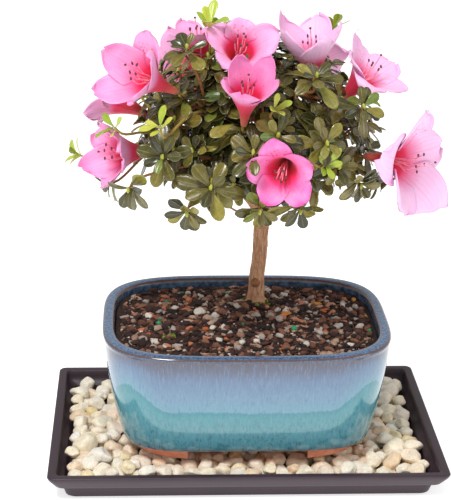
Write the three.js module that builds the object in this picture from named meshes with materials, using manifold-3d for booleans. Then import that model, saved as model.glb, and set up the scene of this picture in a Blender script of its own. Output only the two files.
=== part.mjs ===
// A flowering azalea bonsai: a single-trunk tree in a glazed oval-cornered pot, standing on a bed of
// pebbles in a plastic humidity tray. Millimetres, +Z up, origin at the middle of the tray's underside.
import * as THREE from "three";
import { mergeVertices } from "three/addons/utils/BufferGeometryUtils.js";
import Module from "manifold-3d";

const wasm = await Module();
wasm.setup();

// ---------------------------------------------------------------- driving dimensions
const GAP = 0.4; // clearance between pieces that touch

const TRAY = { halfX: 139, halfY: 91, height: 20.5, corner: 7, rimWidth: 6, floor: 2.5 };
const PEBBLES = { level: 17.6, rise: 3.4 };
const POT = {
  footZ: 18, // underside of the feet, on the pebbles
  baseZ: 27, // underside of the glazed body
  rimZ: 103.5,
  rimX: 101.5, // half width and half depth at the rim
  rimY: 78.5,
  baseX: 88,
  baseY: 67,
  squareness: 3.7, // superellipse exponent of the plan outline
  wall: 8,
  floor: 7,
  holeX: 38,
  holeR: 7,
};
const SOIL = { edgeZ: 97, crown: 2.5 };
const ROOT = new THREE.Vector3(9.8, 32, 0); // where the trunk stands in plan
const CROWN = { x: 5, y: 20, z: 234, halfX: 88, halfY: 74, up: 74, down: 40 };
const SPRAYS = 16; // leafy sprays of the crown
const ROSETTES = 4; // shoots in a spray
const LEAVES = 4; // leaves in the whorl of a shoot
const LEAF = { length: 25, width: 12.5, fold: 1.4 };

// Open flowers: throat centre, the way the flower faces, and the radius over its five lobes.
const FLOWERS = [
  { at: [-68, -36, 285], face: [-0.72, -0.52, 0.46], radius: 31, spin: 20 },
  { at: [-36, 14, 296], face: [-0.15, 0.1, 0.98], radius: 24, spin: 50 },
  { at: [-9, -17, 299], face: [0.05, -0.7, 0.71], radius: 26, spin: 10 },
  { at: [-6, -53, 277], face: [0.02, -0.5, 0.87], radius: 25, spin: 40 },
  { at: [-84, -21, 231], face: [-0.84, -0.5, 0.1], radius: 29, spin: 5 },
  { at: [18, -68, 234], face: [-0.24, -0.96, -0.12], radius: 24, spin: 30 },
  { at: [43, 8, 288], face: [-0.18, -0.2, 0.96], radius: 30, spin: 15 },
  { at: [76, 4, 275], face: [0.6, -0.25, 0.76], radius: 29, spin: 60 },
  { at: [97, -33, 229], face: [0.78, -0.62, 0.05], radius: 41, spin: 12 },
  { at: [48, 82, 268], face: [0.35, 0.82, 0.45], radius: 27, spin: 25 },
  { at: [-42, 80, 262], face: [-0.4, 0.84, 0.36], radius: 27, spin: 70 },
  { at: [8, 98, 222], face: [0.05, 0.99, -0.1], radius: 25, spin: 8 },
  { at: [-88, 44, 248], face: [-0.88, 0.35, 0.32], radius: 25, spin: 35 },
];
const FLOWER_DEPTH = 24; // from the base of the tube to the throat

// ---------------------------------------------------------------- small helpers
const vec = (x, y, z) => new THREE.Vector3(x, y, z);

// A repeatable value from 0 to 1 for any pair of numbers.
function chance(i, j) {
  const v = Math.sin(i * 12.9898 + j * 78.233) * 43758.5453;
  return v - Math.floor(v);
}

// Turns a geometry into a solid for joining and cutting.
function solid(geometry) {
  const bare = geometry.index ? geometry.toNonIndexed() : geometry.clone();
  for (const name of Object.keys(bare.attributes)) if (name !== "position") bare.deleteAttribute(name);
  const merged = mergeVertices(bare, 1e-4);
  return new wasm.Manifold(
    new wasm.Mesh({
      numProp: 3,
      vertProperties: new Float32Array(merged.attributes.position.array),
      triVerts: new Uint32Array(merged.index.array),
    }),
  );
}

// Slivers finer than a few hundredths of a millimetre, left by the joins and cuts, are dropped.
function geometryOf(body, finest = 0.05) {
  const { numProp, numVert, vertProperties, triVerts } = largest(body.simplify(finest)).getMesh();
  const places = new Float32Array(numVert * 3);
  for (let i = 0; i < numVert; i++) places.set(vertProperties.subarray(i * numProp, i * numProp + 3), i * 3);
  const made = new THREE.BufferGeometry();
  made.setAttribute("position", new THREE.BufferAttribute(places, 3));
  made.setIndex(new THREE.BufferAttribute(new Uint32Array(triVerts), 1));
  made.computeVertexNormals();
  return made;
}

// The largest connected piece of a body.
const largest = (body) => body.decompose().reduce((a, b) => (b.volume() > a.volume() ? b : a));

const joined = (bodies) => bodies.reduce((all, next) => all.add(next));

// A closed skin through rings of points, each ring anticlockwise seen from ahead, closed by a point at each end.
function skin(first, rings, last) {
  const count = rings[0].length;
  const places = [first, ...rings.flat(), last].flatMap((p) => [p.x, p.y, p.z]);
  const at = (ring, j) => 1 + ring * count + (j % count);
  const end = 1 + rings.length * count;
  const faces = [];
  for (let j = 0; j < count; j++) {
    faces.push(0, at(0, j + 1), at(0, j));
    for (let i = 0; i + 1 < rings.length; i++) {
      faces.push(at(i, j), at(i, j + 1), at(i + 1, j + 1));
      faces.push(at(i, j), at(i + 1, j + 1), at(i + 1, j));
    }
    faces.push(end, at(rings.length - 1, j), at(rings.length - 1, j + 1));
  }
  const made = new THREE.BufferGeometry();
  made.setAttribute("position", new THREE.Float32BufferAttribute(places, 3));
  made.setIndex(faces);
  return made;
}

// Plan outlines at a height, anticlockwise from above.
function superellipse(halfX, halfY, z, power, count = 34) {
  return Array.from({ length: count }, (_, i) => {
    const angle = ((i + 0.5) / count) * 2 * Math.PI;
    const [c, s] = [Math.cos(angle), Math.sin(angle)];
    const r = (Math.abs(c) ** power + Math.abs(s) ** power) ** (-1 / power);
    return vec(halfX * r * c, halfY * r * s, z);
  });
}

function roundedRectangle(halfX, halfY, z, corner, perCorner = 5) {
  const points = [];
  for (let q = 0; q < 4; q++) {
    const sx = q === 0 || q === 3 ? 1 : -1;
    const sy = q < 2 ? 1 : -1;
    for (let i = 0; i < perCorner; i++) {
      const angle = (q + i / (perCorner - 1)) * (Math.PI / 2);
      points.push(
        vec(sx * (halfX - corner) + corner * Math.cos(angle), sy * (halfY - corner) + corner * Math.sin(angle), z),
      );
    }
  }
  return points;
}

// A tapered round limb along a smooth curve through the given points.
function limb(points, startRadius, endRadius, steps = 4, sides = 6) {
  const curve = new THREE.CatmullRomCurve3(points);
  const frames = curve.computeFrenetFrames(steps, false);
  const rings = Array.from({ length: steps + 1 }, (_, i) => {
    const t = i / steps;
    const centre = curve.getPointAt(t);
    const radius = startRadius + (endRadius - startRadius) * t;
    return Array.from({ length: sides }, (_, j) => {
      const angle = (j / sides) * 2 * Math.PI;
      return centre
        .clone()
        .addScaledVector(frames.normals[i], radius * Math.cos(angle))
        .addScaledVector(frames.binormals[i], radius * Math.sin(angle));
    });
  });
  return skin(curve.getPointAt(0), rings, curve.getPointAt(1));
}

// Two directions square to a given one.
function squareTo(direction) {
  const helper = Math.abs(direction.z) < 0.9 ? vec(0, 0, 1) : vec(1, 0, 0);
  const side = helper.clone().cross(direction).normalize();
  return [side, direction.clone().cross(side)];
}

// ---------------------------------------------------------------- tray and pebbles
function tray() {
  const { halfX, halfY, height, corner, rimWidth, floor } = TRAY;
  const profile = [
    // inset from the rim's outer edge, height
    [14, 0],
    [11.5, 2.2],
    [9.4, 9.4],
    [7.2, 10],
    [3.6, 12],
    [0, height - 1.5],
    [0.6, height],
    [rimWidth, height],
    [rimWidth + 1.2, 12],
    [rimWidth + 5, 9.6],
    [rimWidth + 7, floor + 0.8],
    [rimWidth + 8.6, floor],
  ];
  const rings = profile.map(([inset, z]) => roundedRectangle(halfX - inset, halfY - inset, z, corner));
  return skin(vec(0, 0, 0), rings, vec(0, 0, floor));
}

function pebbleBed() {
  const outline = (inset, z) => roundedRectangle(TRAY.halfX - inset, TRAY.halfY - inset, z, 6, 10);
  const rings = [outline(17, TRAY.floor + GAP), outline(13.5, 9.5), outline(TRAY.rimWidth + 2.4, 14)];
  for (const inset of [10, 16, 22, 28]) {
    const ring = outline(inset, PEBBLES.level);
    ring.forEach((p, j) => (p.z = PEBBLES.level - 2.6 + (2.2 + PEBBLES.rise) * chance(j, inset)));
    rings.push(ring);
  }
  for (const inset of [32, 60, 82]) rings.push(outline(inset, PEBBLES.level));
  const bed = solid(skin(vec(0, 0, TRAY.floor + GAP), rings, vec(0, 0, PEBBLES.level)));
  // no pebble reaches up into the pot's feet
  const underPot = new THREE.BoxGeometry(2 * POT.baseX, 2 * POT.baseY, 10);
  underPot.translate(0, 0, PEBBLES.level + 5.001);
  return geometryOf(largest(bed.subtract(solid(underPot))));
}

// ---------------------------------------------------------------- pot, screens and soil
// Half sizes of the pot's outer wall at a height: nearly upright below the rim, turning in to the base.
function potSizeAt(z) {
  const share = (z - POT.baseZ) / (POT.rimZ - POT.baseZ);
  const grow = 1 - (1 - share) ** 1.7;
  return [POT.baseX + (POT.rimX - POT.baseX) * grow, POT.baseY + (POT.rimY - POT.baseY) * grow];
}

function potRing(z, inset) {
  const [x, y] = potSizeAt(z);
  return superellipse(x - inset, y - inset, z, POT.squareness);
}

function pot() {
  const { baseZ, rimZ, wall, floor, footZ, baseX, baseY, holeX, holeR, squareness } = POT;
  const rings = [
    superellipse(baseX - 5, baseY - 5, baseZ, squareness),
    potRing(baseZ + 3, 0.6),
    ...[16, 34, 52, 68].map((up) => potRing(baseZ + up, 0)),
    potRing(rimZ - 2, 0),
    potRing(rimZ, 1.6),
    potRing(rimZ, wall - 1.2),
    potRing(rimZ - 2.5, wall),
    potRing(rimZ - 24, wall),
    potRing(baseZ + 24, wall),
    potRing(baseZ + floor + 4, wall + 2),
    potRing(baseZ + floor, wall + 8),
  ];
  const shell = solid(skin(vec(0, 0, baseZ), rings, vec(0, 0, baseZ + floor)));

  // four corner feet: a band under the base, cut away along the middle of each side
  const band = (inset, low, high) =>
    solid(
      skin(
        vec(0, 0, low),
        [low, high].map((z) => superellipse(baseX - inset, baseY - inset, z, squareness)),
        vec(0, 0, high),
      ),
    );
  const feet = band(6, footZ, baseZ + 2)
    .subtract(band(20, footZ - 1, baseZ + 3))
    .subtract(solid(new THREE.BoxGeometry(84, 200, 18).translate(0, 0, baseZ - 9.5)))
    .subtract(solid(new THREE.BoxGeometry(300, 66, 18).translate(0, 0, baseZ - 9.5)));
  const hole = (x) =>
    solid(new THREE.CylinderGeometry(holeR, holeR, 30, 16).rotateX(Math.PI / 2).translate(x, 0, baseZ));
  return geometryOf(shell.add(feet).subtract(hole(-holeX)).subtract(hole(holeX)));
}

function drainScreen(x) {
  const side = 22;
  return new THREE.BoxGeometry(side, side, 1).translate(x, 0, POT.baseZ + POT.floor + GAP + 0.5);
}

function soil(rootHollow) {
  const inset = POT.wall + GAP;
  const { baseZ, floor, rimZ } = POT;
  const bottom = baseZ + floor + 1 + 2 * GAP;
  const top = (share) => {
    const [x, y] = potSizeAt(SOIL.edgeZ);
    const ring = superellipse((x - inset) * share, (y - inset) * share, SOIL.edgeZ, POT.squareness);
    ring.forEach((p, j) => (p.z += SOIL.crown * (1 - share ** 2) + 0.8 * chance(j, share * 10) * (share < 1)));
    return ring;
  };
  const rings = [
    superellipse(...potSizeAt(bottom).map((v) => v - inset - 8), bottom, POT.squareness),
    potRing(baseZ + floor + 5, inset + 2.5),
    potRing(baseZ + 25, inset + 0.6),
    potRing(rimZ - 24, inset + 0.3),
    ...[1, 0.86, 0.66, 0.4, 0.15].map(top),
  ];
  return geometryOf(
    largest(solid(skin(vec(0, 0, bottom), rings, vec(0, 0, SOIL.edgeZ + SOIL.crown))).subtract(rootHollow)),
  );
}

// ---------------------------------------------------------------- the tree's frame
const crownPoint = (direction, share) =>
  vec(
    CROWN.x + CROWN.halfX * share * direction.x,
    CROWN.y + CROWN.halfY * share * direction.y,
    CROWN.z + (direction.z > 0 ? CROWN.up : CROWN.down) * share * direction.z,
  );

// The sprays are spread evenly over the crown from its top to its skirt, by the golden angle.
function sprayDirection(k) {
  const z = 0.93 - (1.62 * k) / (SPRAYS - 1);
  const angle = k * Math.PI * (3 - Math.sqrt(5)) + 0.6;
  const flat = Math.sqrt(1 - z * z);
  return vec(flat * Math.cos(angle), flat * Math.sin(angle), z);
}

const sprays = Array.from({ length: SPRAYS }, (_, k) => {
  const direction = sprayDirection(k);
  return { k, direction, hub: crownPoint(direction, 0.66), heart: crownPoint(direction, 0.84) };
});

const FORK = vec(ROOT.x + 3, ROOT.y, 172);
const LEADER = vec(ROOT.x + 1, 26, 216);
const KNOTS = Array.from({ length: 6 }, (_, j) => {
  const angle = ((j * 60 + 25) * Math.PI) / 180;
  return vec(CROWN.x + 4 + 30 * Math.cos(angle), CROWN.y + 4 + 27 * Math.sin(angle), 203 + 6 * (j % 2));
});

// The trunk with its flared foot, limbs and branches, grown as one piece. extra widens every limb.
function tree(extra) {
  const widen = (r) => r + extra;
  const nearest = (p) => [LEADER, ...KNOTS].reduce((a, b) => (b.distanceTo(p) < a.distanceTo(p) ? b : a));
  const grown = [
    limb([vec(ROOT.x, ROOT.y, 70), vec(ROOT.x, ROOT.y, 90), vec(ROOT.x, ROOT.y, 104)], widen(8), widen(7.6), 2, 8),
    limb([vec(ROOT.x, ROOT.y, 96), vec(ROOT.x, ROOT.y, 106), vec(ROOT.x + 1, ROOT.y, 116)], widen(9.4), widen(5.8), 2, 8),
    limb([vec(ROOT.x, ROOT.y, 108), vec(ROOT.x + 1.5, ROOT.y + 1, 140), FORK], widen(6.2), widen(5), 4, 8),
    limb([FORK.clone().setZ(FORK.z - 4), vec(FORK.x, 29, 194), LEADER], widen(4.8), widen(3.2), 3, 7),
  ];
  KNOTS.forEach((knot, j) => {
    const start = FORK.clone().setZ(FORK.z - 2 + 3 * (j % 3));
    const middle = start.clone().lerp(knot, 0.55).add(vec(0, 0, 4));
    grown.push(limb([start, middle, knot], widen(3.6), widen(2.6), 2, 6));
  });
  for (const { hub, k } of sprays) {
    const knot = nearest(hub);
    const middle = knot.clone().lerp(hub, 0.5).add(vec(0, 0, 3 - 4 * chance(k, 3)));
    grown.push(limb([knot, middle, hub], widen(2.5), widen(1.5), 2, 5));
  }
  return joined(grown.map(solid));
}

// ---------------------------------------------------------------- flowers
const flowers = FLOWERS.map(({ at, face, radius, spin }) => {
  const axis = vec(...face).normalize();
  const [side, up] = squareTo(axis);
  const turn = (spin * Math.PI) / 180;
  const across = side.clone().multiplyScalar(Math.cos(turn)).addScaledVector(up, Math.sin(turn));
  return { throat: vec(...at), axis, across, upward: axis.clone().cross(across), radius };
});

// A point of a flower from its own coordinates: distance from the axis, angle, height above the throat.
const onFlower = (flower, r, angle, h) =>
  flower.throat
    .clone()
    .addScaledVector(flower.axis, h)
    .addScaledVector(flower.across, r * Math.cos(angle))
    .addScaledVector(flower.upward, r * Math.sin(angle));

// One fused corolla: a narrow tube that opens into a funnel with five rounded lobes.
function corolla(flower) {
  const R = flower.radius;
  const steps = 15;
  const lobe = (angle) => 0.66 + 0.34 * Math.abs(Math.cos(2.5 * angle)) ** 0.7;
  const outer = [
    // radius, height, how far the lobes show
    [2.2, -FLOWER_DEPTH, 0],
    [5.4, -FLOWER_DEPTH * 0.35, 0],
    [0.38 * R, 4, 0.2],
    [0.76 * R, 0.4 * R, 0.9],
    [R, 0.5 * R, 1],
  ];
  const thick = 0.9;
  const ring = (r, h, show) =>
    Array.from({ length: steps }, (_, j) => {
      const angle = (j / steps) * 2 * Math.PI;
      const scale = 1 - show * (1 - lobe(angle));
      return onFlower(flower, r * scale, angle, h * (show > 0.5 ? 0.7 + 0.3 * scale : 1));
    });
  const inner = outer.slice(0, -1).map(([r, h, show]) => [Math.max(r - thick, 0.8), h + thick, show]);
  const rings = [...outer, ...inner.reverse()].map(([r, h, show]) => ring(r, h, show));
  return skin(
    onFlower(flower, 0, 0, -FLOWER_DEPTH),
    rings,
    onFlower(flower, 0, 0, -FLOWER_DEPTH + 1.6 * thick),
  );
}

// Five stamens and a longer pistil that rise from one point deep in the tube.
function stamens(flower) {
  const R = flower.radius;
  const depth = -FLOWER_DEPTH * 0.5;
  const knob = new THREE.OctahedronGeometry(1.7).translate(...onFlower(flower, 0, 0, depth).toArray());
  const threads = Array.from({ length: 6 }, (_, i) => {
    const pistil = i === 5;
    const angle = i * 1.257 + 0.4;
    const reach = pistil ? 0.62 * R : 0.4 * R + 2 * chance(i, 7);
    const spread = pistil ? 0.01 * R : 0.16 * R;
    return limb([onFlower(flower, pistil ? 0 : 0.9, angle, depth + 0.5), onFlower(flower, spread, angle, reach)], 0.6, 0.5, 1, 3);
  });
  return geometryOf(joined([knob, ...threads].map(solid)));
}

// The room that a flower takes, as a closed turned shape; grow widens it.
function envelope(flower, grow) {
  const R = flower.radius + grow;
  const profile = [
    [0, -FLOWER_DEPTH - grow],
    [3.4 + grow, -FLOWER_DEPTH - grow],
    [9 + grow, -1],
    [0.5 * R + grow, 4],
    [R, 0.36 * R],
    [R, 0.52 * R + grow],
    [0, 0.52 * R + grow],
  ].map(([r, h]) => new THREE.Vector2(r, h));
  const made = new THREE.LatheGeometry(profile, 12);
  const basis = new THREE.Matrix4().makeBasis(flower.across, flower.axis, flower.across.clone().cross(flower.axis));
  return made.applyMatrix4(basis.setPosition(flower.throat));
}

// Whether a point lies in a flower's room, with a margin.
function inFlower(point, margin) {
  return flowers.some((flower) => {
    const from = point.clone().sub(flower.throat);
    const h = from.dot(flower.axis);
    const r = Math.sqrt(Math.max(from.lengthSq() - h * h, 0));
    if (h < -FLOWER_DEPTH - margin || h > 0.52 * flower.radius + margin) return false;
    const wall = h < 0 ? 9 + (5.6 * h) / FLOWER_DEPTH : 9 + (flower.radius - 9) * Math.min(1, h / (0.36 * flower.radius));
    return r < wall + margin;
  });
}

// ---------------------------------------------------------------- leafy sprays
// How far a point may move towards a target before it leaves the spray's own cell, 0 to 1.
function roomInCell(spray, from, to, margin) {
  let share = 1;
  for (const other of sprays) {
    if (other === spray) continue;
    const normal = other.heart.clone().sub(spray.heart);
    const limit = normal.length() / 2 - margin;
    normal.normalize();
    const start = from.clone().sub(spray.heart).dot(normal);
    const end = to.clone().sub(spray.heart).dot(normal);
    if (end > limit) share = Math.min(share, Math.max(0, (limit - start) / (end - start)));
  }
  return share;
}

// The shoots of a spray: one ahead and the others around it, each held inside the spray's cell.
function shootsOf(spray) {
  const outward = crownPoint(spray.direction, 1).sub(spray.hub).normalize();
  const [side, up] = squareTo(outward);
  return Array.from({ length: ROSETTES }, (_, i) => {
    const angle = (i * 2 * Math.PI) / (ROSETTES - 1) + spray.k;
    const spread = i === 0 ? 0 : 19 + 7 * chance(spray.k, i);
    const lift = i === 0 ? 2 : -4 - 7 * chance(spray.k, i + 9);
    const wish = crownPoint(spray.direction, 0.97)
      .addScaledVector(side, spread * Math.cos(angle))
      .addScaledVector(up, spread * Math.sin(angle))
      .addScaledVector(outward, lift);
    const tip = spray.hub.clone().lerp(wish, roomInCell(spray, spray.hub, wish, 4));
    const facing = wish.clone().sub(vec(CROWN.x, CROWN.y, CROWN.z - 30)).normalize();
    return { i, tip, facing };
  });
}

// The leaves of a shoot, as base, tip, flat side and half width, shortened to keep clear of their neighbours.
function leavesOf(spray, shoot) {
  const [side, up] = squareTo(shoot.facing);
  return Array.from({ length: LEAVES }, (_, n) => {
    const seed = spray.k * 50 + shoot.i * 9 + n;
    const angle = (n / LEAVES) * 2 * Math.PI + seed + 0.5 * chance(seed, 1);
    const rise = 0.1 + 0.55 * chance(seed, 2);
    const direction = side
      .clone()
      .multiplyScalar(Math.cos(angle))
      .addScaledVector(up, Math.sin(angle))
      .addScaledVector(shoot.facing, rise)
      .normalize();
    const flank = shoot.facing.clone().cross(direction).normalize();
    const length = LEAF.length * (0.75 + 0.4 * chance(seed, 3));
    const halfWidth = (LEAF.width / 2) * (length / LEAF.length);
    const outline = (s) => [
      shoot.tip.clone().addScaledVector(direction, length * s),
      ...[1, -1].map((w) => shoot.tip.clone().addScaledVector(direction, 0.6 * length * s).addScaledVector(flank, w * halfWidth * s)),
    ];
    let scale = Math.min(...outline(1).map((p) => roomInCell(spray, shoot.tip, p, 0.9)));
    while (scale > 0.4 && outline(scale).some((p) => inFlower(p, 1))) scale -= 0.1;
    return { direction, flank, length: length * scale, halfWidth: halfWidth * scale, keep: scale > 0.4 };
  }).filter((leaf) => leaf.keep && leaf.length > 6);
}

// A leaf is folded along its midrib, which stands a little above its two edges.
function leafBody(base, { direction, flank, length, halfWidth }) {
  const face = direction.clone().cross(flank);
  const at = (s, w, t) =>
    base.clone().addScaledVector(direction, s * length).addScaledVector(flank, w * halfWidth).addScaledVector(face, t);
  const corners = [at(0.08, 0, 0), at(0.62, 1, -LEAF.fold), at(1, 0, 0), at(0.62, -1, -LEAF.fold)];
  const made = new THREE.BufferGeometry().setFromPoints(corners);
  made.setIndex([0, 2, 1, 0, 3, 2, 0, 1, 3, 1, 2, 3]);
  return made;
}

function sprayBody(spray, treeHollow) {
  const parts = [];
  for (const shoot of shootsOf(spray)) {
    if (inFlower(shoot.tip, 2.5) || shoot.tip.distanceTo(spray.hub) < 9) continue;
    parts.push(limb([spray.hub, shoot.tip], 1.5, 1.1, 1, 3));
    parts.push(new THREE.OctahedronGeometry(2.4).translate(...shoot.tip.toArray()));
    for (const leaf of leavesOf(spray, shoot)) parts.push(leafBody(shoot.tip, leaf));
  }
  let body = joined(parts.map(solid)).subtract(treeHollow);
  for (const flower of flowers) body = body.subtract(solid(envelope(flower, GAP)));
  return geometryOf(largest(body), 0.1);
}

// ---------------------------------------------------------------- assembly
const FINISH = {
  trayPlastic: { color: 0x4a3f47, roughness: 0.45, metalness: 0 },
  pebble: { color: 0xe9dcc2, roughness: 0.5, metalness: 0 },
  glaze: { color: 0x7fa6bd, roughness: 0.15, metalness: 0 },
  screenPlastic: { color: 0x2a2a2a, roughness: 0.6, metalness: 0 },
  soil: { color: 0x3b2a24, roughness: 0.95, metalness: 0 },
  bark: { color: 0x9a6f4a, roughness: 0.85, metalness: 0 },
  petal: { color: 0xec5fa4, roughness: 0.5, metalness: 0 },
  stamen: { color: 0xf3b7b0, roughness: 0.5, metalness: 0 },
  leaf: { color: 0x3f4f25, roughness: 0.4, metalness: 0 },
};
const bonsai = new THREE.Group();

function place(name, geometry, finish) {
  const mesh = new THREE.Mesh(geometry, new THREE.MeshStandardMaterial(FINISH[finish]));
  mesh.name = name;
  bonsai.add(mesh);
}

const numbered = (name, i) => `${name}_${String(i + 1).padStart(2, "0")}`;

// Flowers end short of the wood behind them, and the wood short of the flowers.
const flowerRoom = joined(flowers.map((flower) => solid(envelope(flower, GAP))));
const wood = largest(tree(0).subtract(flowerRoom));
const treeHollow = tree(GAP + 0.1);

place("humidity_tray", tray(), "trayPlastic");
place("pebble_bed", pebbleBed(), "pebble");
place("pot", pot(), "glaze");
place("drain_screen_left", drainScreen(-POT.holeX), "screenPlastic");
place("drain_screen_right", drainScreen(POT.holeX), "screenPlastic");
place("soil", soil(treeHollow), "soil");
place("trunk_and_branches", geometryOf(wood), "bark");
flowers.forEach((flower, i) => {
  place(numbered("corolla", i), corolla(flower), "petal");
  place(numbered("stamens", i), stamens(flower), "stamen");
});
sprays.forEach((spray, i) => place(numbered("leaf_spray", i), sprayBody(spray, treeHollow), "leaf"));

export default bonsai;
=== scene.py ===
"""The looks of a flowering azalea bonsai in a glazed pot on a pebble-filled humidity tray. Metres, +Z up."""

import math

import bpy
import numpy as np
from mathutils import Matrix, Vector, noise


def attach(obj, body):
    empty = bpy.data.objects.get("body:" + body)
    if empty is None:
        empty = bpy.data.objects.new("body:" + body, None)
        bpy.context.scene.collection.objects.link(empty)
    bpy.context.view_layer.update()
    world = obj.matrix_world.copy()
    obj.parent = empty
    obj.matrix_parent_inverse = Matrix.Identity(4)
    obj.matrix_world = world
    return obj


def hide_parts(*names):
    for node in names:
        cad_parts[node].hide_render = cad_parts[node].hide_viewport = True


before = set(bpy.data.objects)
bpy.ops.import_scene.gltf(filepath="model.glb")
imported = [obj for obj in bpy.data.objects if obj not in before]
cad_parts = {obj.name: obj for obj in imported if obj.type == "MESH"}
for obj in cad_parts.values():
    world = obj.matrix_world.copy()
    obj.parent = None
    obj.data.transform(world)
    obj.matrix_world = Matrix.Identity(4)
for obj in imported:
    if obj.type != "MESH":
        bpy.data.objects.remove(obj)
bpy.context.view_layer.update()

MM = 0.001
PI = math.pi


# ------------------------------------------------------------------ numbers and meshes
def chance(i, j):
    """A repeatable value from 0 to 1 for any pair of numbers."""
    v = math.sin(i * 12.9898 + j * 78.233) * 43758.5453
    return v - math.floor(v)


def lumps(p, scale, seed=0.0):
    """Smooth noise from -1 to 1 at a point in millimetres; scale is the size of a lump."""
    return noise.noise(Vector((p[0] / scale + seed, p[1] / scale - seed, p[2] / scale + 2 * seed)))


def unit(v):
    """The unit vector along a vector."""
    v = np.asarray(v, float)
    return v / np.linalg.norm(v)


def square_to(direction):
    """Two unit vectors square to a direction and to each other."""
    helper = np.array([0, 0, 1.0]) if abs(direction[2]) < 0.9 else np.array([1.0, 0, 0])
    side = unit(np.cross(helper, direction))
    return side, np.cross(direction, side)


def in_scene(name, data):
    """A new object, linked to the scene."""
    made = bpy.data.objects.new(name, data)
    bpy.context.scene.collection.objects.link(made)
    return made


class Patch:
    """Gathers many surfaces, in millimetres, into one mesh with a named number at each vertex."""

    def __init__(self):
        self.points, self.faces, self.values, self.count = [], [], {}, 0

    def add(self, points, faces, **values):
        points = np.asarray(points, float).reshape(-1, 3)
        self.points.append(points)
        self.faces += [[corner + self.count for corner in face] for face in faces]
        for name, value in values.items():
            self.values.setdefault(name, []).append(np.broadcast_to(np.asarray(value, float), len(points)))
        self.count += len(points)

    def build(self, name, material):
        mesh = bpy.data.meshes.new(name)
        points = np.concatenate(self.points) * MM
        mesh.from_pydata(points.tolist(), [], self.faces)
        for value_name, parts in self.values.items():
            mesh.attributes.new(value_name, "FLOAT", "POINT").data.foreach_set("value", np.concatenate(parts))
        mesh.materials.append(material)
        mesh.polygons.foreach_set("use_smooth", [True] * len(mesh.polygons))
        mesh.update()
        return in_scene(name, mesh)


def grid_faces(rows, columns, closed=False):
    """Quads over rows x columns points; closed joins the last column to the first."""
    faces = []
    for low in range(0, (rows - 1) * columns, columns):
        for j in range(columns if closed else columns - 1):
            k = (j + 1) % columns
            faces.append((low + j, low + k, low + columns + k, low + columns + j))
    return faces


def loft(patch, rings, **values):
    """A skin through rings of points, closed by a fan over the first and the last ring."""
    rings = np.asarray(rings, float)
    rows, columns = rings.shape[:2]
    points = np.concatenate([rings.reshape(-1, 3), rings[:1].mean(1), rings[-1:].mean(1)])
    faces = grid_faces(rows, columns, closed=True)
    top, low_middle = (rows - 1) * columns, rows * columns
    faces += [(low_middle, (j + 1) % columns, j) for j in range(columns)]
    faces += [(low_middle + 1, top + j, top + (j + 1) % columns) for j in range(columns)]
    for name, value in values.items():
        if np.ndim(value) == 2:
            values[name] = np.concatenate([value.reshape(-1), value[:1].mean(1), value[-1:].mean(1)])
    patch.add(points, faces, **values)


def smooth_path(points, count):
    """count points along a Catmull-Rom curve through the given ones."""
    p = np.asarray(points, float)
    p = np.concatenate([2 * p[:1] - p[1:2], p, 2 * p[-1:] - p[-2:-1]])
    t = np.linspace(0, len(p) - 3 - 1e-6, count)
    i = np.floor(t).astype(int)
    f = (t - i)[:, None]
    a, b, c, d = p[i], p[i + 1], p[i + 2], p[i + 3]
    return 0.5 * (2 * b + (c - a) * f + (2 * a - 5 * b + 4 * c - d) * f**2 + (3 * b - a - 3 * c + d) * f**3)


def limb(patch, points, radii, steps=12, sides=10, rough=0.0, seed=0.0, **values):
    """A round limb along a curve; radii are spread along it; rough is the height of its lumps."""
    path = smooth_path(points, steps)
    radius = np.interp(np.linspace(0, 1, steps), np.linspace(0, 1, len(radii)), radii)
    tangent = np.gradient(path, axis=0)
    side, _ = square_to(unit(tangent[0]))
    angle = np.arange(sides) * 2 * PI / sides
    rings = []
    for n in range(steps):
        t = unit(tangent[n])
        side = unit(side - t * side.dot(t))
        up = np.cross(t, side)
        ring = path[n] + radius[n] * (np.cos(angle)[:, None] * side + np.sin(angle)[:, None] * up)
        if rough:
            for m in range(sides):
                bump = lumps(ring[m] * [1, 1, 0.45], 3.2, seed) + 0.5 * lumps(ring[m], 1.3, seed)
                ring[m] += (ring[m] - path[n]) / radius[n] * rough * bump
        rings.append(ring)
    loft(patch, rings, **values)
    return path


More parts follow.
